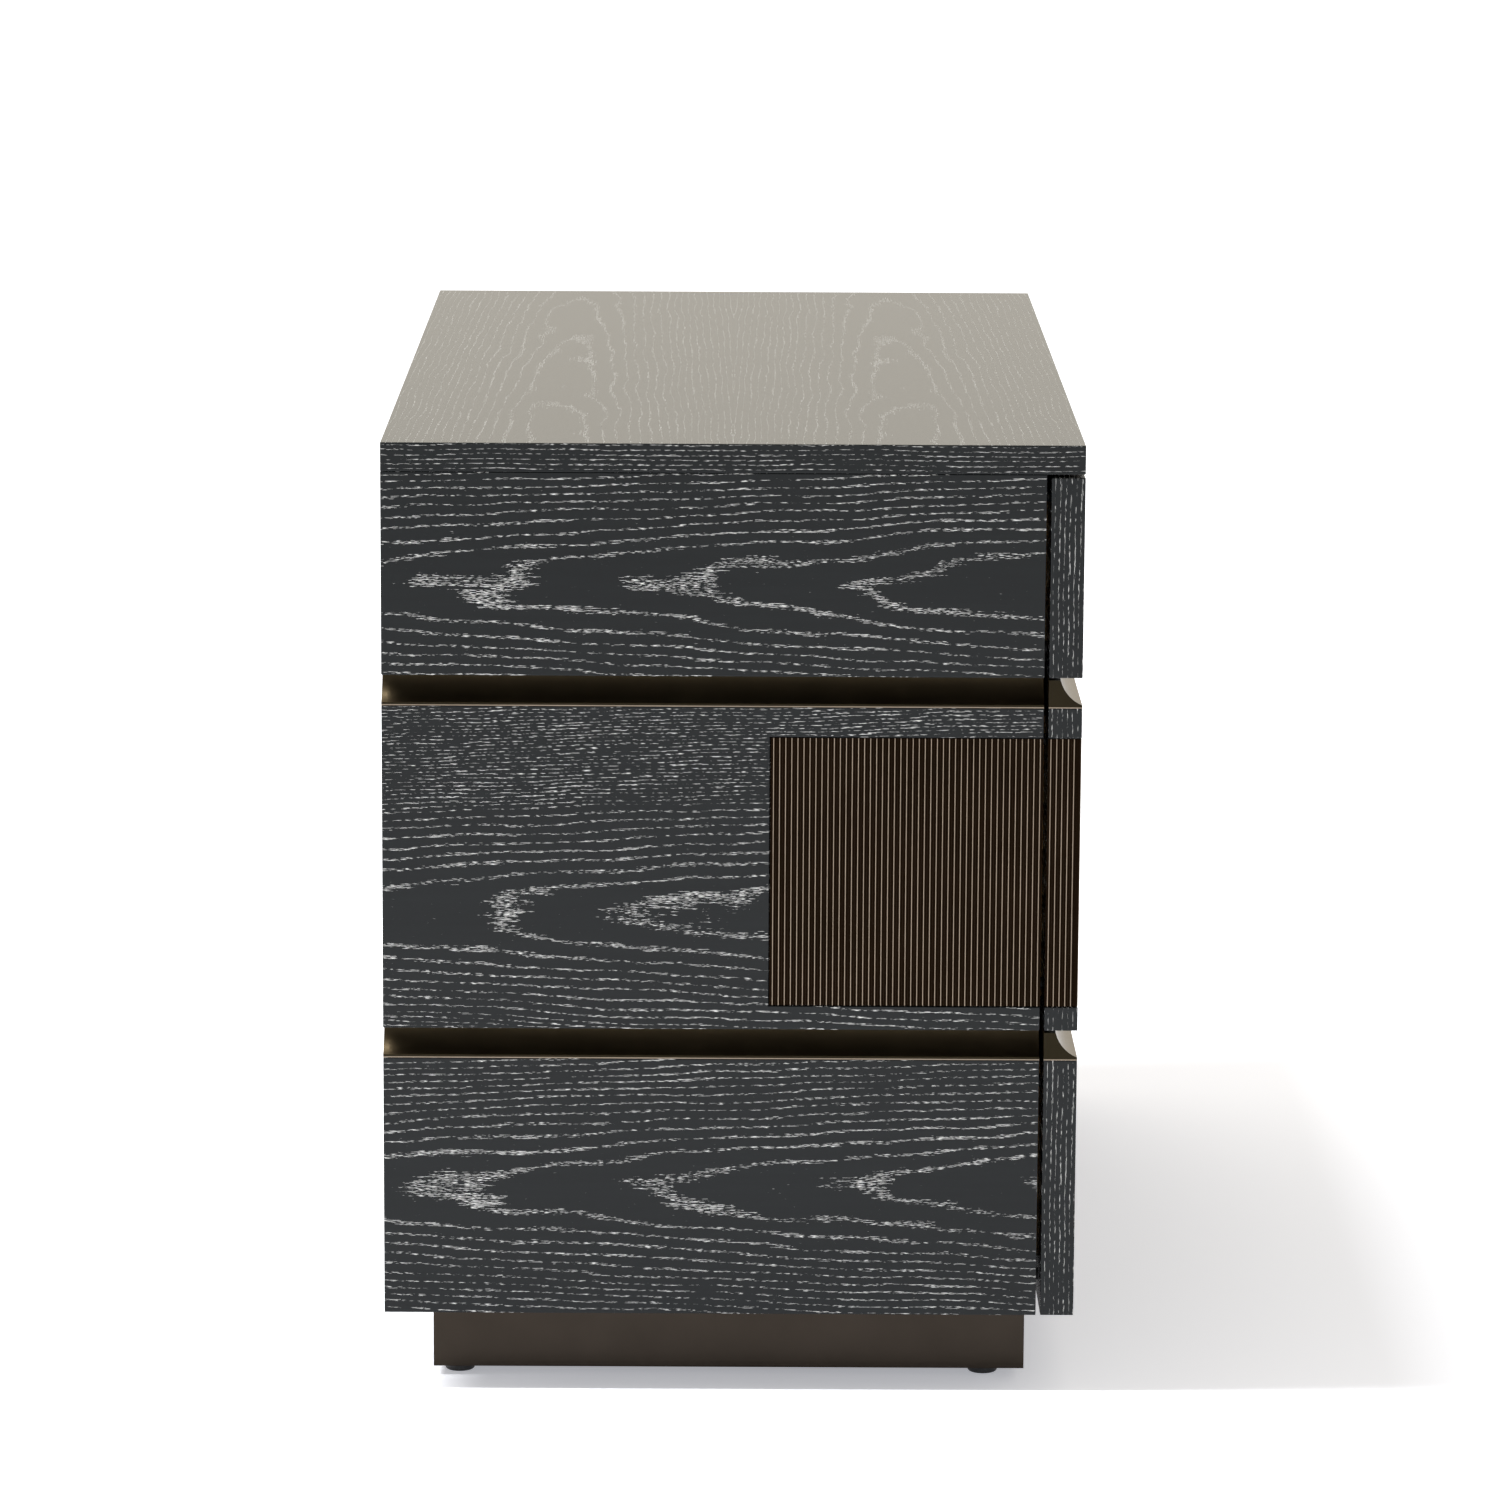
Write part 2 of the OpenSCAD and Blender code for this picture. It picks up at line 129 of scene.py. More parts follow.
# Cerused oak: open-grained veneer, brushed, stained black, then limed. The pores stay rough and
# pale in bands that follow the growth rings, and the wood between them has a low satin lacquer.
def cerusedOak(name, **changes):
    look = dict(oakLook, **changes)
    material, tree = newMaterial(name)
    uv = addNode(tree, "ShaderNodeUVMap", {"uv_map": "grain"})
    board = addNode(tree, "ShaderNodeVectorMath", {"operation": "SCALE", 0: uv, "Scale": 1 / mm})
    axes = addNode(tree, "ShaderNodeSeparateXYZ", {0: board})
    along, across = axes.outputs[0], axes.outputs[1]
    if look["leafMm"]:
        across = addNode(tree, "ShaderNodeMath", {"operation": "PINGPONG", 0: across, 1: look["leafMm"]})
        board = addNode(tree, "ShaderNodeCombineXYZ", {"X": along, "Y": across})
    noise = {}
    for index, (part, (length, width, detail)) in enumerate(oakNoise.items()):
        place = addNode(tree, "ShaderNodeMapping", {
            "Vector": board, "Scale": (1 / length, 1 / width, 1),
            "Location": (0, 0, look["seed"] + oakNoiseStep * index)})
        noise[part] = addNode(tree, "ShaderNodeTexNoise", {
            "Vector": place, "Scale": 1.0, "Detail": detail, "Roughness": oakNoiseRoughness})

    offset = addNode(tree, "ShaderNodeMath", {"operation": "SUBTRACT", 0: across, 1: look["figureMm"]})
    corner = addNode(tree, "ShaderNodeCombineXYZ", {"X": offset, "Y": look["heartMm"]})
    depth = addNode(tree, "ShaderNodeVectorMath", {"operation": "LENGTH", 0: corner})
    radius = addNode(tree, "ShaderNodeMath", {
        "operation": "MULTIPLY_ADD", 0: along, 1: look["taper"], 2: depth.outputs["Value"]})
    for part, reach in oakDrift.items():
        radius = addNode(tree, "ShaderNodeMath", {
            "operation": "MULTIPLY_ADD", 0: noise[part], 1: reach, 2: radius})
    outer = addNode(tree, "ShaderNodeMath", {"operation": "SUBTRACT", 0: radius, 1: look["slowFromMm"]})
    outer = addNode(tree, "ShaderNodeMath", {"operation": "MAXIMUM", 0: outer, 1: 0.0})
    radius = addNode(tree, "ShaderNodeMath", {
        "operation": "MULTIPLY_ADD", 0: outer, 1: look["slowShare"], 2: radius})
    start = look["heartMm"] + look["taper"] * look["tipMm"] + sum(oakDrift.values()) / 2
    ring = addNode(tree, "ShaderNodeMath", {
        "operation": "WRAP", 0: radius, 1: start + look["ringMm"], 2: start})
    band = addNode(tree, "ShaderNodeMapRange", {
        "Value": ring, "From Min": start + look["poreBandMm"],
        "From Max": start + look["poreBandMm"] * look["bandFade"]})

    crowding = addNode(tree, "ShaderNodeMapRange", {
        "Value": noise["patch"], "To Min": look["fewPores"], "To Max": look["manyPores"]})
    level = addNode(tree, "ShaderNodeMath", {
        "operation": "MULTIPLY_ADD", 0: band, 1: crowding, 2: noise["pores"]})
    limed = addNode(tree, "ShaderNodeMapRange", {
        "Value": level, "From Min": look["limedFrom"], "From Max": look["limedFull"],
        "To Max": look["limeShare"]})
    stain = addNode(tree, "ShaderNodeMix", {
        "data_type": "RGBA", 0: noise["tone"], 6: linear(look["stain"]), 7: linear(look["stainSoft"])})
    colour = addNode(tree, "ShaderNodeMix", {
        "data_type": "RGBA", 0: limed, 6: stain.outputs[2], 7: linear(look["lime"])})
    satin = addNode(tree, "ShaderNodeMapRange", {
        "Value": noise["pores"], "To Min": look["satin"][0], "To Max": look["satin"][1]})
    rough = addNode(tree, "ShaderNodeMath", {
        "operation": "MULTIPLY_ADD", 0: limed, 1: look["waxRoughness"], 2: satin})
    height = addNode(tree, "ShaderNodeMath", {
        "operation": "MULTIPLY_ADD", 0: limed, 1: look["poreDepth"], 2: noise["fibre"]})
    bump = addNode(tree, "ShaderNodeBump", {
        "Strength": look["bumpStrength"], "Distance": look["bumpMm"] * mm, "Height": height})
    shader = addNode(tree, "ShaderNodeBsdfPrincipled", {
        "Base Color": colour.outputs[2], "Roughness": rough, "Normal": bump,
        "Specular IOR Level": look["specular"]})
    addNode(tree, "ShaderNodeOutputMaterial", {"Surface": shader})
    return material


clearOakLook = {
    "pale": "#cdaa7c", "deep": "#b08a5e", "pore": "#7d5b38", "poreMm": (45, 1.4), "figureMm": (250, 13),
    "poreFrom": 0.58, "poreFull": 0.72,    # the levels of the noise at which a pore opens and is fully open
    "bumpStrength": 0.3, "bumpMm": 0.1, "roughness": 0.42,
}


# Clear oak of the drawer boxes: pale, planed, with thin open pores under a clear lacquer.
def clearOak(name):
    look = clearOakLook
    material, tree = newMaterial(name)
    uv = addNode(tree, "ShaderNodeUVMap", {"uv_map": "grain"})
    noise = []
    for (length, width), detail in ((look["poreMm"], 3.0), (look["figureMm"], 2.0)):
        place = addNode(tree, "ShaderNodeMapping", {
            "Vector": uv, "Scale": (1 / (length * mm), 1 / (width * mm), 1)})
        noise.append(addNode(tree, "ShaderNodeTexNoise", {"Vector": place, "Scale": 1.0, "Detail": detail}))
    pores, figure = noise
    wood = addNode(tree, "ShaderNodeMix", {
        "data_type": "RGBA", 0: figure, 6: linear(look["deep"]), 7: linear(look["pale"])})
    poreShare = addNode(tree, "ShaderNodeMapRange", {
        "Value": pores, "From Min": look["poreFrom"], "From Max": look["poreFull"]})
    colour = addNode(tree, "ShaderNodeMix", {
        "data_type": "RGBA", 0: poreShare, 6: wood.outputs[2], 7: linear(look["pore"])})
    bump = addNode(tree, "ShaderNodeBump", {
        "Strength": look["bumpStrength"], "Distance": look["bumpMm"] * mm, "Height": pores})
    shader = addNode(tree, "ShaderNodeBsdfPrincipled", {
        "Base Color": colour.outputs[2], "Roughness": look["roughness"], "Normal": bump})
    addNode(tree, "ShaderNodeOutputMaterial", {"Surface": shader})
    return material


sawnLook = {
    "pale": "#9b774d", "deep": "#7f5f3c", "pore": "#4f3921", "poreMm": 1.1, "ringMm": 5.0,
    "ringScale": 0.3,    # the wave texture's scale for rings 1 m apart
    "ringWarp": 4.0, "poreEdge": 0.25, "poreCore": 0.1, "roughness": 0.6,
}


# Sawn end grain of the dovetails: darker than the face, speckled with open pores, hardly glossy.
def endGrainOak(name):
    look = sawnLook
    material, tree = newMaterial(name)
    place = addNode(tree, "ShaderNodeTexCoord", {}).outputs["Object"]
    pores = addNode(tree, "ShaderNodeTexVoronoi", {"Vector": place, "Scale": 1 / (look["poreMm"] * mm)})
    rings = addNode(tree, "ShaderNodeTexWave", {
        "bands_direction": "Z", "Vector": place, "Scale": look["ringScale"] / (look["ringMm"] * mm),
        "Distortion": look["ringWarp"], "Detail": 2.0})
    wood = addNode(tree, "ShaderNodeMix", {
        "data_type": "RGBA", 0: rings.outputs["Fac"], 6: linear(look["deep"]), 7: linear(look["pale"])})
    poreShare = addNode(tree, "ShaderNodeMapRange", {
        "Value": pores, "From Min": look["poreEdge"], "From Max": look["poreCore"]})
    colour = addNode(tree, "ShaderNodeMix", {
        "data_type": "RGBA", 0: poreShare, 6: wood.outputs[2], 7: linear(look["pore"])})
    shader = addNode(tree, "ShaderNodeBsdfPrincipled", {
        "Base Color": colour.outputs[2], "Roughness": look["roughness"]})
    addNode(tree, "ShaderNodeOutputMaterial", {"Surface": shader})
    return material


metalLook = {"cloudMm": 45.0, "brushMm": 1.1, "glossSpread": 0.08, "brushDepthMm": 0.1, "brushStrength": 0.08}


# A worked metal: its tone clouds a little from place to place, and fine brush marks run along one axis.
def workedMetal(name, dark, light, roughness, brushed=(1.0, 1.0, 1.0)):
    look = metalLook
    material, tree = newMaterial(name)
    place = addNode(tree, "ShaderNodeTexCoord", {}).outputs["Object"]
    cloud = addNode(tree, "ShaderNodeTexNoise", {
        "Vector": place, "Scale": 1 / (look["cloudMm"] * mm), "Detail": 4.0})
    along = addNode(tree, "ShaderNodeMapping", {"Vector": place, "Scale": brushed})
    marks = addNode(tree, "ShaderNodeTexNoise", {
        "Vector": along, "Scale": 1 / (look["brushMm"] * mm), "Detail": 2.0})
    colour = addNode(tree, "ShaderNodeMix", {
        "data_type": "RGBA", 0: cloud, 6: linear(dark), 7: linear(light)})
    rough = addNode(tree, "ShaderNodeMapRange", {
        "Value": marks, "To Min": roughness - look["glossSpread"], "To Max": roughness + look["glossSpread"]})
    bump = addNode(tree, "ShaderNodeBump", {
        "Strength": look["brushStrength"], "Distance": look["brushDepthMm"] * mm, "Height": marks})
    shader = addNode(tree, "ShaderNodeBsdfPrincipled", {
        "Base Color": colour.outputs[2], "Metallic": 1.0, "Roughness": rough, "Normal": bump})
    addNode(tree, "ShaderNodeOutputMaterial", {"Surface": shader})
    return material


polymerLook = {"sparkMm": 0.7, "glossSpread": 0.08, "bumpStrength": 0.25, "bumpMm": 0.1}


# A moulded polymer: even colour with a fine spark-eroded texture from the mould.
def mouldedPolymer(name, hexColour, roughness):
    look = polymerLook
    material, tree = newMaterial(name)
    place = addNode(tree, "ShaderNodeTexCoord", {}).outputs["Object"]
    grain = addNode(tree, "ShaderNodeTexNoise", {
        "Vector": place, "Scale": 1 / (look["sparkMm"] * mm), "Detail": 2.0})
    rough = addNode(tree, "ShaderNodeMapRange", {
        "Value": grain, "To Min": roughness - look["glossSpread"], "To Max": roughness + look["glossSpread"]})
    bump = addNode(tree, "ShaderNodeBump", {
        "Strength": look["bumpStrength"], "Distance": look["bumpMm"] * mm, "Height": grain})
    shader = addNode(tree, "ShaderNodeBsdfPrincipled", {
        "Base Color": linear(hexColour), "Roughness": rough, "Normal": bump})
    addNode(tree, "ShaderNodeOutputMaterial", {"Surface": shader})
    return material


drawnOut = 0.02    # brush marks are 50 times as long as they are wide
alongX, alongY, alongZ = (drawnOut, 1, 1), (1, drawnOut, 1), (1, 1, drawnOut)
materials = {
    "upperLeaf": cerusedOak("cerusedOakUpperLeaf", tipMm=148.0, figureMm=-8.0, seed=5.0),
    "middleLeaf": cerusedOak("cerusedOakMiddleLeaf", tipMm=150.0, figureMm=-31.0, seed=11.0,
                             slowFromMm=113.0, slowShare=0.67),
    "lowerLeaf": cerusedOak("cerusedOakLowerLeaf", tipMm=160.0, figureMm=-2.0, seed=3.0),
    "frontTop": cerusedOak("cerusedOakTopFront", tipMm=-90.0, figureMm=6.0, seed=19.0),
    "frontMiddle": cerusedOak("cerusedOakMiddleFront", tipMm=40.0, figureMm=-24.0, seed=23.5),
    "frontBottom": cerusedOak("cerusedOakBottomFront", tipMm=10.0, figureMm=3.0, seed=51.0),
    "topLeaf": cerusedOak("cerusedOakTopLeaf", tipMm=82.0, figureMm=112.0, leafMm=228.5, seed=27.0,
                          heartMm=100.0, taper=0.0107, limeShare=0.36, poreBandMm=0.62),
    "caseVeneer": cerusedOak("cerusedOakCaseVeneer", figureMm=90.0, seed=43.0,
                             heartMm=95.0, taper=0.009, limeShare=0.6),
    "edgeBand": cerusedOak("cerusedOakEdgeBand", figureMm=300.0, seed=35.0,
                           heartMm=0.0, taper=0.0, limeShare=0.8),
    "clearOak": clearOak("lacqueredOak"),
    "endOak": endGrainOak("sawnOakEndGrain"),
    "coveBronze": workedMetal("darkBronzeCove", "#524836", "#5f5340", 0.36, alongY),
    "endBronze": workedMetal("darkBronzeCoveEnd", "#201c13", "#2a251b", 0.42, alongZ),
    # painted highlight: a lighter bronze for the lower edge of the cove's lip
    "lipHighlightBronze": workedMetal("paintedHighlightBronzeLip", "#74695c", "#867a6c", 0.36, alongY),
    # painted shade: a near-black bronze for the sheet's floor between the reeds
    "floorShadeBronze": workedMetal("paintedShadeBronzeFloor", "#120b06", "#1a1109", 0.52, alongZ),
    # painted shade: a darker bronze for the low beads in the flutes
    "beadShadeBronze": workedMetal("paintedShadeBronzeBead", "#1d150e", "#261c13", 0.46, alongZ),
    # painted highlight: a light bronze for the reeds' crests
    "reedHighlightBronze": workedMetal("paintedHighlightBronzeReed", "#7d7162", "#8e8071", 0.34, alongZ),
    "plinthBronze": workedMetal("darkBronzePlinth", "#2c2722", "#37312b", 0.38, alongX),
    "zinc": workedMetal("brightZincPlate", "#9ea2a6", "#b6babd", 0.32),
    "rubber": mouldedPolymer("blackRubber", "#161617", 0.6),
    "footNylon": mouldedPolymer("blackNylonFoot", "#141416", 0.5),
}
print("materials made:", len(materials))


def bodyOf(node):
    return next(b for b, members in frame["record"]["behaviour"]["bodies"].items() if node in members)


# Puts a finished mesh in the scene as one piece of the nightstand
def addPiece(name, mesh, body, slotName, *nodes):
    mesh.name = name
    piece = bpy.data.objects.new(name, mesh)
    bpy.context.scene.collection.objects.link(piece)
    if nodes:
        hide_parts(*nodes)
    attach(piece, body)
    return piece


# A copy of a CAD node's mesh with its loose triangles joined up, to be worked on
def openNode(node):
    work = bmesh.new()
    work.from_mesh(frame["nodes"][node].data)
    bmesh.ops.remove_doubles(work, verts=work.verts, dist=0.01 * mm)
    return work


def closeMesh(work, names):
    mesh = bpy.data.meshes.new("worked")
    work.to_mesh(mesh)
    work.free()
    for name in names:
        mesh.materials.append(materials[name])
    return mesh


boardLook = {"easedEdge": 0.6 * mm, "edgeSegments": 2, "shortestEased": 5 * mm,
             "sharpAngle": math.radians(40)}


# A wooden CAD node with eased edges and a grain map in metres. grain gives, for faces that look
# along x, y and z, the axis that the grain runs along. faces chooses a material for each of them.
def dressBoard(node, slotName, grain, faces, origin=None):
    look = boardLook
    low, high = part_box(node)
    middle = origin or (low + high) / 2
    work = openNode(node)
    bmesh.ops.dissolve_limit(work, angle_limit=math.radians(1), verts=work.verts, edges=work.edges)
    sharp = [edge for edge in work.edges if len(edge.link_faces) == 2
             and edge.calc_face_angle() > look["sharpAngle"] and edge.calc_length() > look["shortestEased"]]
    bmesh.ops.bevel(work, geom=sharp, offset=look["easedEdge"], segments=look["edgeSegments"],
                    profile=0.5, affect="EDGES", clamp_overlap=True)
    names = sorted(set(faces))
    layer = work.loops.layers.uv.new("grain")
    for face in work.faces:
        facing = max(range(3), key=lambda axis: abs(face.normal[axis]))
        along = grain[facing]
        across = 3 - facing - along
        face.material_index = names.index(faces[facing])
        for loop in face.loops:
            place = loop.vert.co - middle
            loop[layer].uv = (place[along], place[across])
    addPiece(node.replace("_", "-"), closeMesh(work, names), bodyOf(node), slotName, node)


x, y, z = 0, 1, 2
for side in ("left", "right"):
    for tier in ("upper", "middle", "lower"):
        dressBoard(f"side_panel_{tier}_{side}", "black_oak", (y, z, y),
                   (tier + "Leaf", "edgeBand", "edgeBand"))
    dressBoard(f"carcass_side_{side}", "black_oak", (y, z, y), ("caseVeneer", "edgeBand", "edgeBand"))
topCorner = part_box("top_panel")[0]
dressBoard("top_panel", "black_oak", (y, x, x), ("edgeBand", "edgeBand", "topLeaf"),
           Vector((0, topCorner.y, topCorner.z)))
for node in ("carcass_bottom", "top_rails", "divider_rails"):
    dressBoard(node, "black_oak", (y, x, x), ("edgeBand", "edgeBand", "caseVeneer"))
dressBoard("back_panel", "black_oak", (z, x, x), ("edgeBand", "caseVeneer", "edgeBand"))
for level in ("top", "middle", "bottom"):
    dressBoard(f"drawer_{level}_front", "black_oak", (z, x, x),
               ("edgeBand", "front" + level.capitalize(), "edgeBand"))
    for part in ("front", "back"):
        dressBoard(f"drawer_{level}_box_{part}", "drawer_oak", (z, x, x), ("endOak", "clearOak", "clearOak"))
    for part in ("left", "right"):
        dressBoard(f"drawer_{level}_box_{part}", "drawer_oak", (y, z, y), ("clearOak", "endOak", "clearOak"))
    dressBoard(f"drawer_{level}_box_bottom", "drawer_oak", (y, x, x), ("clearOak", "clearOak", "clearOak"))
print("boards dressed")


# Sets a tree's inputs by their identifiers and keeps what it makes as a plain mesh
def meshFrom(tree, sockets, values, source=None):
    holder = bpy.data.objects.new("holder", source or bpy.data.meshes.new("empty"))
    bpy.context.scene.collection.objects.link(holder)
    modifier = holder.modifiers.new("made", "NODES")
    modifier.node_group = tree
    for name, value in values.items():
        modifier[sockets[name]] = value
    bpy.context.view_layer.update()
    mesh = bpy.data.meshes.new_from_object(holder.evaluated_get(bpy.context.evaluated_depsgraph_get()))
    bpy.data.objects.remove(holder)
    return mesh


def newTree(name, inputs):
    tree = bpy.data.node_groups.new(name, "GeometryNodeTree")
    sockets = {}
    for label, kind in inputs.items():
        socket = tree.interface.new_socket(label, in_out="INPUT", socket_type="NodeSocket" + kind)
        sockets[label] = socket.identifier
    tree.interface.new_socket("Geometry", in_out="OUTPUT", socket_type="NodeSocketGeometry")
    return tree, sockets


ribLook = {"pitch": 4.0 * mm, "reedRadius": 0.34 * mm, "beadRadius": 0.3 * mm, "floorDepth": 0.66 * mm,
           "edgeGap": 0.5 * mm, "sides": 10}


# Upright rods in a row along X
def rodTree():
    tree, sockets = newTree("rodsInARow", {
        "Count": "Int", "Pitch": "Float", "Height": "Float", "Radius": "Float",
        "Sides": "Int", "Start": "Vector", "Finish": "Material"})
    given = addNode(tree, "NodeGroupInput", {}).outputs
    top = addNode(tree, "ShaderNodeCombineXYZ", {"Z": given["Height"]})
    spine = addNode(tree, "GeometryNodeCurvePrimitiveLine", {"End": top})
    section = addNode(tree, "GeometryNodeCurvePrimitiveCircle", {
        "Resolution": given["Sides"], "Radius": given["Radius"]})
    rod = addNode(tree, "GeometryNodeCurveToMesh", {
        "Curve": spine, "Profile Curve": section, "Fill Caps": True})
    step = addNode(tree, "ShaderNodeCombineXYZ", {"X": given["Pitch"]})
    places = addNode(tree, "GeometryNodeMeshLine", {
        "Count": given["Count"], "Start Location": given["Start"], "Offset": step})
    placed = addNode(tree, "GeometryNodeInstanceOnPoints", {"Points": places, "Instance": rod})
    real = addNode(tree, "GeometryNodeRealizeInstances", {"Geometry": placed})
    painted = addNode(tree, "GeometryNodeSetMaterial", {"Geometry": real, "Material": given["Finish"]})
    addNode(tree, "NodeGroupOutput", {"Geometry": painted})
    return tree, sockets


rodsInARow, rodSockets = rodTree()


# A fluted bronze sheet: reeds with a low bead between each two, on a floor. The reeds are painted light
#  as a painted highlight, the beads and the floor dark as painted shade. Its face lies on y = 0 and its lower
#  left corner on the origin until turn and corner put it in place.
def reedInlay(name, body, nodes, corner, turn, length, height, thickness):
    look = ribLook
    count = max(1, round(length / look["pitch"]))
    pitch = length / count
    # the reeds' light bronze is a painted highlight, the beads' dark bronze painted shade
    rows = (("reedHighlightBronze", count, look["reedRadius"], (pitch / 2, look["reedRadius"], 0)),
            ("beadShadeBronze", count - 1, look["beadRadius"], (pitch, look["floorDepth"], 0)))
    work = bmesh.new()
    for index, (finish, howMany, radius, start) in enumerate(rows):
        already = len(work.faces)
        work.from_mesh(meshFrom(rodsInARow, rodSockets, {
            "Count": howMany, "Pitch": pitch, "Height": height, "Radius": radius, "Sides": look["sides"],
            "Start": start, "Finish": materials[finish]}))
        work.faces.ensure_lookup_table()
        for face in work.faces[already:]:
            face.material_index = index
    depth = thickness - look["floorDepth"]
    sheet = Matrix.Translation((length / 2, look["floorDepth"] + depth / 2, height / 2)) @ Matrix.Diagonal(
        (length, depth, height, 1))
    # the sheet's floor gets near-black bronze: painted shade between the reeds
    corners = bmesh.ops.create_cube(work, size=1, matrix=sheet)["verts"]
    for face in {face for vert in corners for face in vert.link_faces}:
        face.material_index = len(rows)
    work.transform(Matrix.Translation(corner) @ Matrix.Rotation(turn, 4, "Z"))
    mesh = closeMesh(work, ("reedHighlightBronze", "beadShadeBronze", "floorShadeBronze"))
    addPiece(name, mesh, body, "bronze_trim", *nodes)


gap = ribLook["edgeGap"]
for side, turn in (("left", -quarter), ("right", quarter)):
    node = f"side_ribbed_inlay_{side}"
    low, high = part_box(node)
    corner = (low.x, high.y - gap, low.z + gap) if side == "left" else (high.x, low.y, low.z + gap)
    thickness = high.x - low.x
    reedInlay(f"reeded-side-inlay-{side}", "case", [node], corner, turn,
              high.y - low.y - gap, high.z - low.z - 2 * gap, thickness)
    node = "drawer_middle_edge_inlays"    # one node for both edges, which the left piece replaces
    low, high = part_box(node)
    corner = (low.x, high.y, low.z + gap) if side == "left" else (high.x, low.y, low.z + gap)
    reedInlay(f"reeded-edge-inlay-{side}", "drawer_middle", [node] if side == "left" else [], corner, turn,
              high.y - low.y, high.z - low.z - 2 * gap, thickness)
node = "drawer_middle_front_inlay"
low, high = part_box(node)
reedInlay("reeded-front-inlay", "drawer_middle", [node], (low.x, low.y, low.z + gap), 0.0,
          high.x - low.x, high.z - low.z - 2 * gap, high.y - low.y)
print("inlays made")


coveLook = {"lip": 0.7 * mm, "skin": 0.5 * mm}


# A cove bar. Its outward faces are dark, and a lighter bronze along the lower edge of the lip is a painted
# highlight.
def dressCove(node):
    look = coveLook
    low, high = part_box(node)
    reach = max(abs(low.x), abs(high.x))
    work = openNode(node)
    feet = sorted({round(face.calc_center_median().z, 4) for face in work.faces if face.normal.z < -0.99})
    for foot in feet:
        everything = work.verts[:] + work.edges[:] + work.faces[:]
        bmesh.ops.bisect_plane(work, geom=everything, plane_co=(0, 0, foot + look["lip"]), plane_no=(0, 0, 1))
    for face in work.faces:
        place = face.calc_center_median()
        upright = abs(face.normal.z) < 0.1 and face.normal.y < 0.9
        atSkin = upright and min(abs(abs(place.x) - reach), abs(place.y - low.y)) < look["skin"]
        # a lighter band along the lower edge of the lip: painted highlight
        highlighted = atSkin and any(foot < place.z < foot + look["lip"] for foot in feet)
        sawnEnd = abs(face.normal.x) > 0.9 and node.startswith("drawer")
        face.material_index = 1 if highlighted else 2 if atSkin or sawnEnd else 0
    mesh = closeMesh(work, ("coveBronze", "lipHighlightBronze", "endBronze"))
    addPiece(node.replace("_", "-"), mesh, bodyOf(node), "bronze_trim", node)


for node in list(frame["nodes"]):
    if "cove_trim" in node:
        dressCove(node)

keptFinishes = {"plinth_long_rails": "plinthBronze", "plinth_end_rails": "plinthBronze",
                "plinth_gussets": "zinc", "foot_weld_nuts": "zinc", "drawer_bumpers": "rubber"}
keptFinishes.update({node: "zinc" for node in frame["nodes"] if "slide" in node})
for node, finish in keptFinishes.items():
    thing = frame["nodes"][node]
    thing.data.materials.clear()
    thing.data.materials.append(materials[finish])
print("metal and rubber finished")


# A closed turned shape: outline is a list of (radius, height), from the foot up. hexagon says
# which of the radii follow a hexagon, as in a driver socket.
def turned(outline, around, material, hexagon=()):
    work = bmesh.new()
    sixth = math.pi / 3
    rings = []
    for index, (radius, height) in enumerate(outline):
        ring = []
        for step in range(around):
            angle = 2 * math.pi * step / around
            flat = math.cos(sixth / 2) / math.cos(angle % sixth - sixth / 2) if index in hexagon else 1.0
            reach = radius * flat
            ring.append(work.verts.new((reach * math.cos(angle), reach * math.sin(angle), height)))
        rings.append(ring)
    for below, above in zip(rings, rings[1:]):
        for i in range(around):
            j = (i + 1) % around
            work.faces.new((below[i], below[j], above[j], above[i]))
    work.faces.new(list(reversed(rings[0])))
    work.faces.new(rings[-1])
    bmesh.ops.recalc_face_normals(work, faces=work.faces)
    return closeMesh(work, (material,))


def threaded(core, crest, bottom, top, pitch):
    return [point for i in range(int((top - bottom) / pitch))
            for point in ((core, bottom + i * pitch), (crest, bottom + (i + 0.5) * pitch))]


# The separate solids of a CAD node, as boxes
def solidsOf(node):
    work = openNode(node)
    seen, boxes = set(), []
    for start in work.verts:
        if start in seen:
            continue
        stack, group = [start], []
        seen.add(start)
        while stack:
            vert = stack.pop()
            group.append(vert.co.copy())
            for edge in vert.link_edges:
                other = edge.other_vert(vert)
                if other not in seen:
                    seen.add(other)
                    stack.append(other)
        low, high = (Vector(pick(place[axis] for place in group) for axis in range(3)) for pick in (min, max))
        boxes.append((low, high))
    work.free()
    return sorted(boxes, key=lambda pair: tuple(round(v, 4) for v in pair[0]))


# One small item, copied to every point of the source mesh
def copyTree():
    tree, sockets = newTree("copiesAtPoints", {
        "Geometry": "Geometry", "Item": "Object", "Finish": "Material"})
    given = addNode(tree, "NodeGroupInput", {}).outputs
    item = addNode(tree, "GeometryNodeObjectInfo", {"Object": given["Item"]})
    placed = addNode(tree, "GeometryNodeInstanceOnPoints", {
        "Points": given["Geometry"], "Instance": item.outputs["Geometry"]})
    real = addNode(tree, "GeometryNodeRealizeInstances", {"Geometry": placed})
    painted = addNode(tree, "GeometryNodeSetMaterial", {"Geometry": real, "Material": given["Finish"]})
    addNode(tree, "NodeGroupOutput", {"Geometry": painted})
    return tree, sockets


copiesAtPoints, copySockets = copyTree()


def copies(mesh, places, finish):
    item = bpy.data.objects.new("item", mesh)
    bpy.context.scene.collection.objects.link(item)
    points = bpy.data.meshes.new("places")
    points.from_pydata([tuple(place) for place in places], [], [])
    made = meshFrom(copiesAtPoints, copySockets, {"Item": item, "Finish": materials[finish]}, points)
    bpy.data.objects.remove(item)
    return made


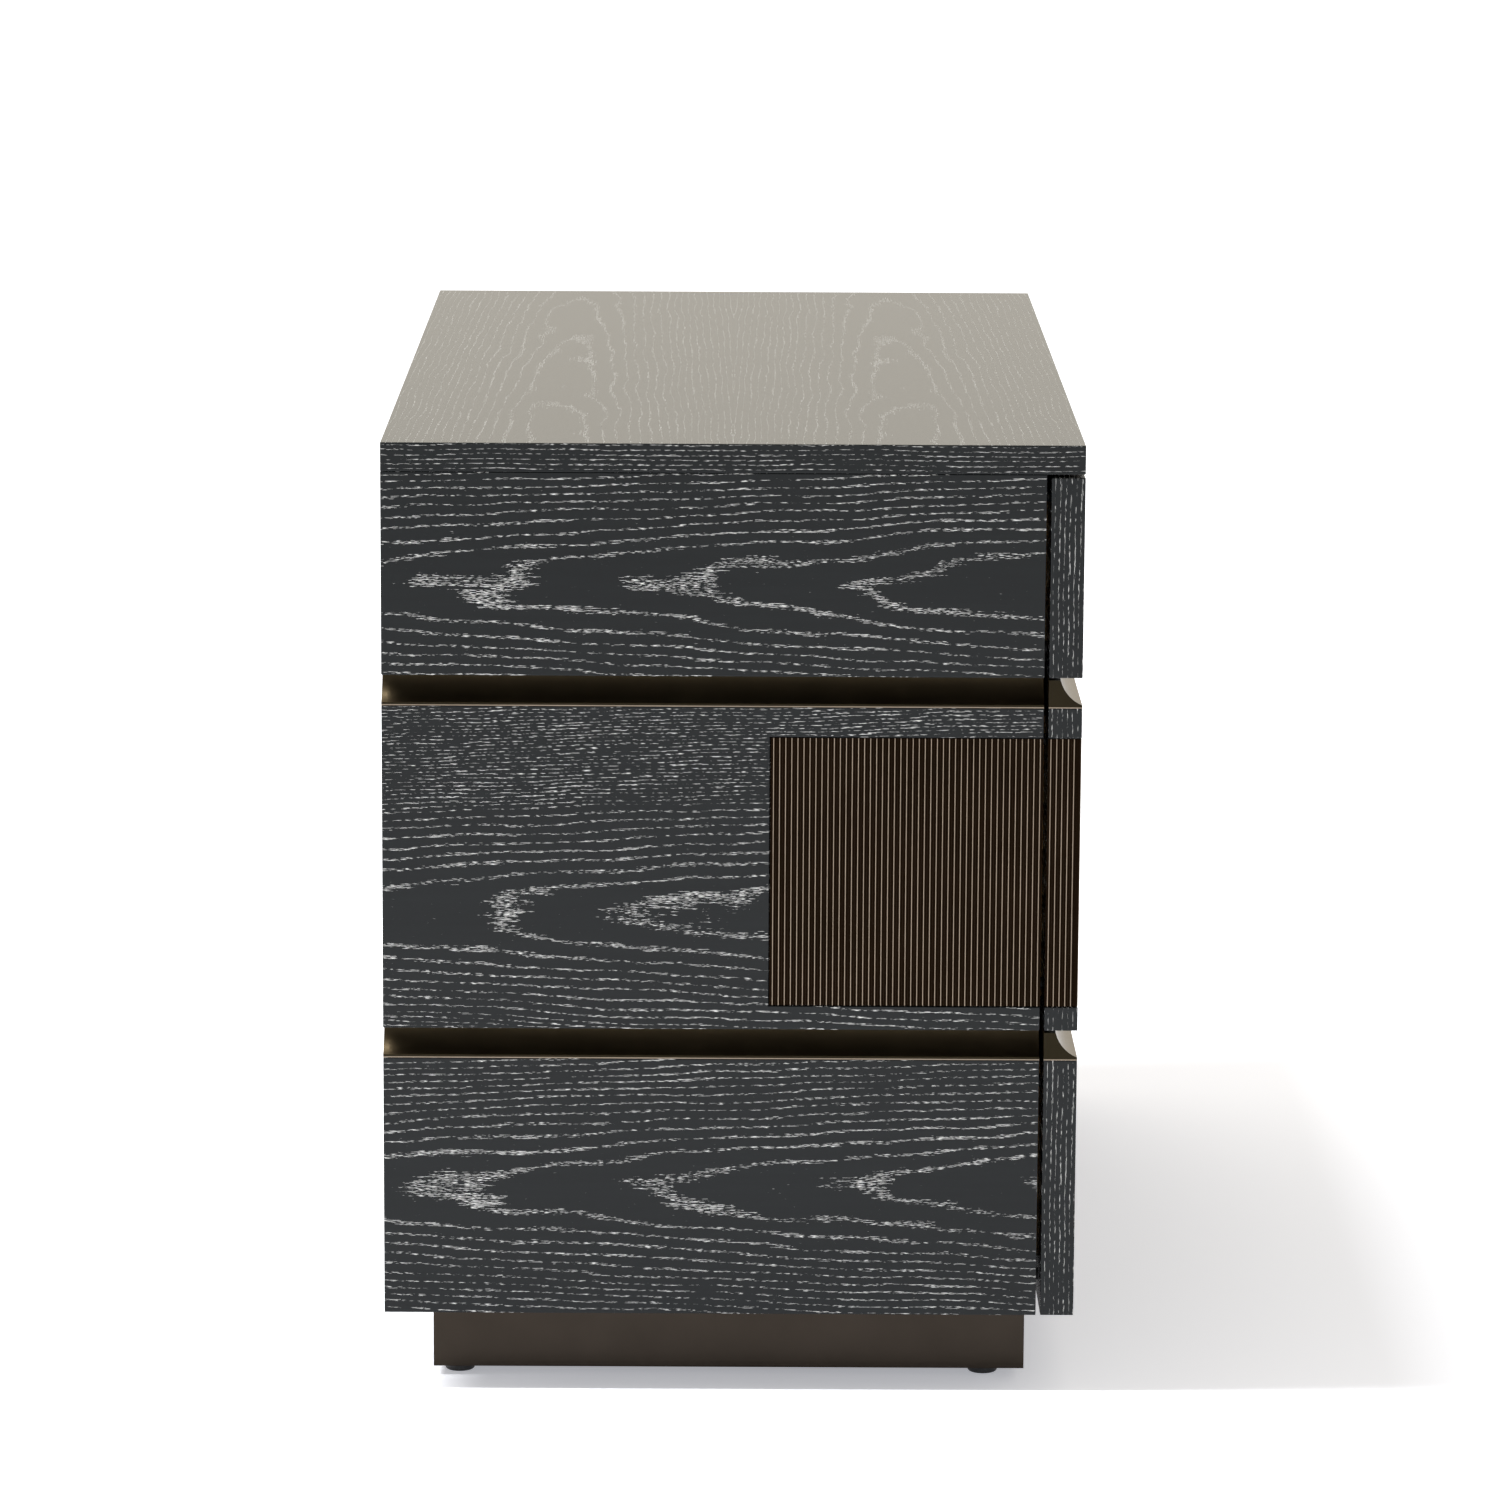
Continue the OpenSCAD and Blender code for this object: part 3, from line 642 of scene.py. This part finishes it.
screwLook = {
    "shank": 2.0 * mm, "core": 1.6 * mm, "threadPitch": 1.4 * mm,
    "tip": 0.3 * mm, "tipLength": 2.5 * mm,
    "threadShare": 0.75, "plainShare": 0.8,      # of the length below the head
    "headHeight": 2.2 * mm, "headShare": 0.125,  # the head is never more than this share of the length
    # shares of the head's radius and height, ending in the driver socket
    "head": ((1.0, 0.0), (1.0, 0.35), (0.86, 0.8), (0.62, 1.0), (0.42, 1.0), (0.42, 0.4)),
    "around": 18,
}


# A woodscrew or machine screw along y with a pan head at the back, as its CAD solid lies
def makeScrews(node):
    look = screwLook
    solids = solidsOf(node)
    low, high = solids[0]
    headRadius, length = (high.x - low.x) / 2, high.y - low.y
    headHeight = min(look["headHeight"], length * look["headShare"])
    neck = length - headHeight
    outline = [(look["tip"], 0.0), (look["core"], look["tipLength"])]
    outline += threaded(look["core"], look["shank"], look["tipLength"] * 1.2, neck * look["threadShare"],
                        look["threadPitch"])
    outline += [(look["shank"], neck * look["plainShare"]), (look["shank"], neck)]
    outline += [(headRadius * share, neck + headHeight * rise) for share, rise in look["head"]]
    mesh = turned(outline, look["around"], "zinc", hexagon=(len(outline) - 2, len(outline) - 1))
    mesh.transform(Matrix.Rotation(-quarter, 4, "X"))    # +z turns to +y
    places = [((a.x + b.x) / 2, a.y, (a.z + b.z) / 2) for a, b in solids]
    addPiece(node.replace("_", "-"), copies(mesh, places, "zinc"), bodyOf(node), "zinc_steel", node)


footLook = {
    "padTop": 5.7 * mm, "stem": 4.0 * mm, "threadPitch": 1.25 * mm, "threadDepth": 0.6 * mm, "around": 40,
    # how far inside the pad's radius the outline is, and its height, both in mm
    "pad": ((1.8, 0.0), (0.7, 0.25), (0.15, 0.9), (0.0, 1.8),
            (0.0, 3.8), (0.36, 5.0), (1.2, 5.5), (2.4, 5.7)),
}


def makeFoot(node):
    look = footLook
    low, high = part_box(node)
    radius = (high.x - low.x) / 2
    outline = [(radius - inside * mm, height * mm) for inside, height in look["pad"]]
    outline += [(look["stem"], look["padTop"])]
    outline += threaded(look["stem"], look["stem"] - look["threadDepth"], look["padTop"] + 0.4 * mm,
                        high.z - look["threadPitch"], look["threadPitch"])
    outline += [(look["stem"] - look["threadDepth"], high.z)]
    mesh = turned(outline, look["around"], "footNylon")
    mesh.transform(Matrix.Translation(((low.x + high.x) / 2, (low.y + high.y) / 2, low.z)))
    addPiece(node.replace("_", "-"), mesh, node, "foot_plastic", node)


for node in list(frame["nodes"]):
    if node.endswith("screws"):
        makeScrews(node)
    if node.startswith("foot_") and node != "foot_weld_nuts":
        makeFoot(node)
print("screws and feet made")


raceLook = {"ball": 1.4 * mm, "pitch": 9.0 * mm, "rowLength": 130 * mm, "endGap": 6 * mm,
            # places of the rows: in from the rail's back, and out past its edge
            "outer": (1.7 * mm, 1.5 * mm), "inner": (3.7 * mm, -2.7 * mm)}


# The steel balls between a middle rail and the rails on either side of it
def makeRaces(level):
    look = raceLook
    ball = bmesh.new()
    bmesh.ops.create_icosphere(ball, subdivisions=2, radius=look["ball"])
    for face in ball.faces:
        face.smooth = True
    low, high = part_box(f"slide_middle_rails_{level}")
    centre, half = (low.z + high.z) / 2, (high.z - low.z) / 2
    places = []
    for side in (-1, 1):
        for way in (-1, 1):
            for i in range(int(look["rowLength"] / look["pitch"])):
                run = look["endGap"] + i * look["pitch"]
                for (inward, outward), end in ((look["outer"], high.y - run), (look["inner"], low.y + run)):
                    places.append((side * (high.x - inward), end, centre + way * (half + outward)))
    mesh = copies(closeMesh(ball, ("zinc",)), places, "zinc")
    addPiece(f"ball-races-{level}", mesh, f"slide_middle_{level}", "zinc_steel")


for level in ("top", "middle", "bottom"):
    makeRaces(level)
print("ball races made")


studio = {
    "lens": 147.25, "distance": 3.927, "height": 1.213, "along": -0.0005, "shiftY": -0.072,
    "pitch": 10.22, "turn": -0.162, "roll": 0.311,    # degrees
    "skyColour": "#fff8ea", "behind": 0.22, "beyond": 1.29,    # brightness on the camera's side and opposite
    "paper": "#f3f5fb", "paperRoughness": 0.9, "paperSize": 60.0, "glowColour": "#f5f7ff",
    "glowFrom": 0.3, "glowTo": 1.2, "glowNear": 0.37, "glowFar": 0.6,    # metres, and strength
    # name: place, target, width and length in metres, watts
    "lights": {"keyLight": ((-0.7, 3.6, 1.7), (0, 0, 0.3), 0.6, 0.6, 6),
               "overheadStrip": ((-0.4, 3.75, 5.0), (-0.4, 3.75, 0), 0.35, 5.0, 770),
               "fillLight": ((-2.4, -0.7, 0.6), (-0.5, 0, 0), 1.6, 1.6, 2)},
}

# The floor's own glow is painted light: it lightens the shadows cast on it, more further from the nightstand.
paper, tree = newMaterial("paleStudioPaper")
place = addNode(tree, "ShaderNodeTexCoord", {}).outputs["Object"]
reach = addNode(tree, "ShaderNodeVectorMath", {"operation": "LENGTH", 0: place}).outputs["Value"]
glow = addNode(tree, "ShaderNodeMapRange", {    # the floor glows, more strongly further out: painted light that lightens its shadows
    "Value": reach, "From Min": studio["glowFrom"], "From Max": studio["glowTo"],
    "To Min": studio["glowNear"], "To Max": studio["glowFar"]})
shader = addNode(tree, "ShaderNodeBsdfPrincipled", {
    "Base Color": linear(studio["paper"]), "Roughness": studio["paperRoughness"],
    "Emission Strength": glow, "Emission Color": linear(studio["glowColour"])})
addNode(tree, "ShaderNodeOutputMaterial", {"Surface": shader})
work = bmesh.new()
bmesh.ops.create_grid(work, x_segments=1, y_segments=1, size=studio["paperSize"])
floorMesh = bpy.data.meshes.new("studioFloor")
work.to_mesh(floorMesh)
work.free()
floorMesh.materials.append(paper)
floor = bpy.data.objects.new("studioFloor", floorMesh)
bpy.context.scene.collection.objects.link(floor)

world = bpy.data.worlds.new("studioWorld")
world.use_nodes = True
sky = world.node_tree
sky.nodes.clear()
direction = addNode(sky, "ShaderNodeTexCoord", {}).outputs["Generated"]
axes = addNode(sky, "ShaderNodeSeparateXYZ", {0: direction})
bright = addNode(sky, "ShaderNodeMapRange", {    # a dim room on one side, a lit white sweep on the other
    "Value": axes, "From Min": -0.3, "From Max": 0.6, "To Min": studio["behind"], "To Max": studio["beyond"]})
ray = addNode(sky, "ShaderNodeLightPath", {}).outputs["Is Camera Ray"]
strength = addNode(sky, "ShaderNodeMix", {"data_type": "FLOAT", 0: ray, 2: bright, 3: 1.0})
background = addNode(sky, "ShaderNodeBackground", {
    "Color": linear(studio["skyColour"]), "Strength": strength})
addNode(sky, "ShaderNodeOutputWorld", {"Surface": background})
bpy.context.scene.world = world
bpy.context.scene.view_settings.view_transform = "Standard"

for name, (place, target, width, length, power) in studio["lights"].items():
    lamp = bpy.data.lights.new(name, "AREA")
    lamp.shape = "RECTANGLE"
    lamp.size = width
    lamp.size_y = length
    lamp.energy = power
    light = bpy.data.objects.new(name, lamp)
    light.location = place
    light.rotation_euler = (Vector(target) - Vector(place)).to_track_quat("-Z", "Y").to_euler()
    bpy.context.scene.collection.objects.link(light)

cameraData = bpy.data.cameras.new("camera")
cameraData.lens = studio["lens"]
cameraData.sensor_width = 36.0
cameraData.shift_y = studio["shiftY"]
camera = bpy.data.objects.new("camera", cameraData)
camera.location = (cadBox[0][0] - studio["distance"], studio["along"], studio["height"])
aim = Matrix.Rotation(math.radians(studio["turn"]) - quarter, 4, "Z")
aim = aim @ Matrix.Rotation(quarter - math.radians(studio["pitch"]), 4, "X")
aim = aim @ Matrix.Rotation(math.radians(studio["roll"]), 4, "Z")
camera.rotation_euler = aim.to_euler()
bpy.context.scene.collection.objects.link(camera)
bpy.context.scene.camera = camera
print("studio made")
